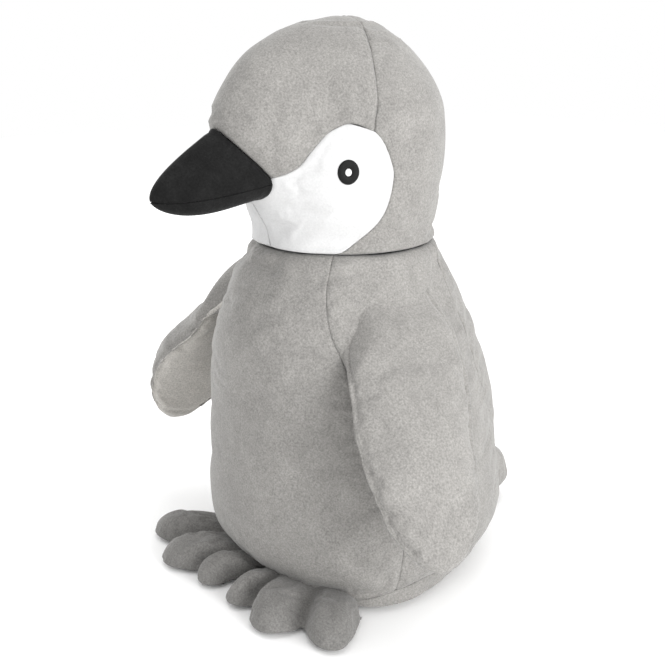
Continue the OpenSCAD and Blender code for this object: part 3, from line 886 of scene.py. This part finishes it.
def fan_surface(low, high, height, reach_of, valley_of, lift, dip):
    """The upper face of a fan that spreads from the foot of the body, root to rim."""

    def surface(degrees, s):
        x = (2 * degrees - low - high) / (high - low)
        fade = np.sqrt(np.clip(1 - np.abs(x) ** 8, 0, 1))
        arch = np.sqrt(np.clip(1 - s ** 5.5, 0, 1))
        tuck = 1 - dip * (1 - smooth(s, 0, 0.5))
        rise = height * fade * arch * tuck * (1 - valley_of(degrees) * 0.7 * s ** 0.45)
        z = 3.4 + lift + rise
        return around(degrees, mix(torso_r(degrees, z) - 2.5, reach_of(degrees), s), z)

    return surface


def sole_points(degrees, s, low, high, reach_of, lift):
    """The lower face of the same fan, turned up at its rim and its two sides."""
    side = np.clip(np.abs((2 * degrees - low - high) / (high - low)), 0, 1) ** 12
    z = SOLE_Z + lift + 2.95 * np.maximum(s ** 7, side)
    root = torso_r(degrees, lift + mix(1.0, 3.4, side)) - 2.5
    return around(degrees, mix(root, reach_of(degrees), s), z)


def fan_pieces(names, low, high, height, reach_of, valley_of, lift, mirror,
               seed, material):
    surface = fan_surface(low, high, height, reach_of, valley_of, lift, 0 if lift else 0.3)
    across = np.linspace(low, high, steps(150, CAGE * 0.75))
    out = np.sin(np.linspace(0, np.pi / 2, 26))
    held = (out[:, None] < 0.2) | (out[:, None] > 0.999) | (valley_of(across)[None, :] > 0.7)
    form = Form(names[0], surface, across, out, held, False, slack=0.04, pressure=2.0,
                cap=1.6, keep_shape=16.0)
    degrees = np.linspace(low, high, steps(150, FINE * 0.7))[None, :]
    s = np.sin(np.linspace(0, np.pi / 2, steps(70, FINE)))[:, None]
    up = np.array([0, 0, 1])
    top = form.at(degrees + 0 * s, s + 0 * degrees)
    sole = sole_points(degrees + 0 * s, s + 0 * degrees, low, high, reach_of, lift)
    seam = {"depth": 0.5, "width": 2.0, "pucker": 0.45, "pitch": 6}
    # nothing is sewn in or puckered where the two faces close up at the sides
    inside = 1 - smooth(np.abs(2 * degrees - low - high) / (high - low), 0.88, 1.0)
    for name, p, way, nodes, uneven in (
        (names[0], top, up, [names[0], names[2]], 0.7),
        (names[1], sole, -up, [names[1]], 0.15),
    ):
        p = facing(p, way)
        n = grid_normals(p) * inside[..., None]
        p = sew(p, n, {"all": seam}, seed, uneven, free=("low",))
        p[..., 2] = np.maximum(p[..., 2], SOLE_Z)
        p = facing(p * mirror, way)
        obj = finish_piece(shell(name, p, THIN), material, nodes)
        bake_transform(obj)


def toe_reach(turned):
    return lambda degrees: value(TOES, degrees - turned)


def toe_valley(turned):
    return lambda degrees: np.clip(value(VALLEYS, degrees - turned), 0, 1)


def tail_rim(degrees):
    return mix(torso_r(degrees, 12 + 0 * degrees), TAIL_REACH, value(TAIL, degrees - 180))


for side, side_name in SIDES:
    names = ["foot_upper_" + side_name, "foot_sole_" + side_name, "foot_filling_" + side_name]
    turned = side * TOE_TURN
    way = math.radians(29.5 + turned)
    fan_pieces(names, 3.8 + turned, 55.2 + turned, TOE_HEIGHT, toe_reach(turned),
               toe_valley(turned), 0, np.array([side, 1, 1]),
               90 + side, DARK_GREY)
fan_pieces(["tail_upper", "tail_lower", "tail_filling"], 160, 200, TAIL_HEIGHT, tail_rim,
           lambda degrees: 0 * degrees, TAIL_LIFT, np.array([1, 1, 1]),
           95, GREY)

# ---- eyes: satin stitches over the cheeks -----------------------------------------------

EYE_ANGLE = 54.5
EYE_Z = 287.0
EYE_WIDE = 0.90
EYE_TALL = 1.06
STITCH_POINTS = 9
STITCH_SIDES = 6


def stitches(name, side, inner, outer, count, lift, radius, material):
    """A ring of satin stitches: threads side by side, each bowed over its band."""
    mesh = cheeks[side].data
    corners = [v.co / MM for v in mesh.vertices]
    cheek = BVHTree.FromPolygons(corners, [tuple(f.vertices) for f in mesh.polygons])
    angle, z = np.array(EYE_ANGLE * side), np.array(EYE_Z)
    middle, n = head(angle, z), head_form.normals(angle, z)
    up = unit(np.array([0, 0, 1]) - n * n[2])
    right = np.cross(up, n)
    points, faces = [], []
    for k in range(count):
        a = 2 * math.pi * k / count + rng.uniform(-0.4, 0.4) / count
        spoke = right * math.cos(a) * EYE_WIDE + up * math.sin(a) * EYE_TALL
        beside = -right * math.sin(a) + up * math.cos(a)
        for t in np.linspace(0, 1, STITCH_POINTS):
            r = mix(inner, outer, t)
            flat = middle + spoke * r
            hit = cheek.ray_cast(Vector(flat + n * 8), Vector(-n))[0]
            ground = np.array(hit) if hit is not None else flat
            centre = ground + n * (lift * math.sin(math.pi * mix(0.08, 0.92, t)) - 0.15)
            wide = 0.55 + 0.75 * r / outer
            for b in np.arange(STITCH_SIDES) * 2 * math.pi / STITCH_SIDES:
                points.append(centre + (beside * math.cos(b) * wide + n * math.sin(b)) * radius)
        base = k * STITCH_POINTS * STITCH_SIDES
        ring = np.arange(STITCH_SIDES)
        follow = (ring + 1) % STITCH_SIDES
        for i in range(STITCH_POINTS - 1):
            c = base + i * STITCH_SIDES
            faces += np.stack([c + ring, c + follow, c + STITCH_SIDES + follow,
                               c + STITCH_SIDES + ring], -1).tolist()
        faces.append((base + ring[::-1]).tolist())
        faces.append((base + (STITCH_POINTS - 1) * STITCH_SIDES + ring).tolist())
    obj = finish_piece(mesh_object(name, points, faces), material, [name])
    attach(obj, "head")


for side, side_name in SIDES:
    stitches("eye_" + side_name, side, 2.2, 7.4, 104, 0.9, 0.27, BLACK_THREAD)
    stitches("eye_highlight_" + side_name, side, 0.15, 2.3, 26, 0.9, 0.24, WHITE_THREAD)

# ---- floor, light and camera ---------------------------------------------------------------

floor_size = 3000
floor = mesh_object("floor", np.array([
    [-floor_size, -floor_size, 0], [floor_size, -floor_size, 0],
    [floor_size, floor_size, 0], [-floor_size, floor_size, 0],
]), [(0, 1, 2, 3)])
paper = Nodes("paper_floor")
paper.set(Base_Color=(0.985, 0.985, 0.985, 1), Roughness=0.9, Specular_IOR_Level=0.1)
floor.data.materials.append(paper.material)


def area_light(name, place, target, size, power):
    data = bpy.data.lights.new(name, "AREA")
    data.size, data.energy = size, power
    obj = bpy.data.objects.new(name, data)
    obj.location = place
    obj.rotation_euler = (Vector(target) - Vector(place)).to_track_quat("-Z", "Y").to_euler()
    bpy.context.scene.collection.objects.link(obj)


LIT = (0, 0, 0.2)
area_light("key", (1.8, 0.1, 0.65), LIT, 1.0, 26)
area_light("fill", (-1.7, -0.1, 0.5), LIT, 1.0, 12)
area_light("low", (1.5, -0.5, 0.25), (0, 0, 0.05), 0.8, 3)
area_light("top", (0.1, 0.2, 2.2), LIT, 1.4, 10)
world = bpy.data.worlds.new("studio")
bpy.context.scene.world = world
world.use_nodes = True
world.node_tree.nodes["Background"].inputs["Color"].default_value = (1, 1, 1, 1)
world.node_tree.nodes["Background"].inputs["Strength"].default_value = 1.0

CAMERA_AZIMUTH = 52.0
CAMERA_DISTANCE = 0.6966
CAMERA_HEIGHT = 0.3729
CAMERA_TARGET = Vector((0, 0, 0.19))
camera_data = bpy.data.cameras.new("camera")
camera = bpy.data.objects.new("camera", camera_data)
bpy.context.scene.collection.objects.link(camera)
bpy.context.scene.camera = camera
a = math.radians(CAMERA_AZIMUTH)
camera.location = (
    math.sin(a) * CAMERA_DISTANCE, -math.cos(a) * CAMERA_DISTANCE, CAMERA_HEIGHT)
camera.rotation_mode = "QUATERNION"
camera.rotation_quaternion = (CAMERA_TARGET - camera.location).to_track_quat("-Z", "Y")
camera_data.sensor_width = 36
camera_data.lens = 55.8
camera_data.shift_x = -0.0165
camera_data.shift_y = -0.0532
camera_data.clip_start = 0.01

bpy.context.scene.view_settings.view_transform = "Standard"
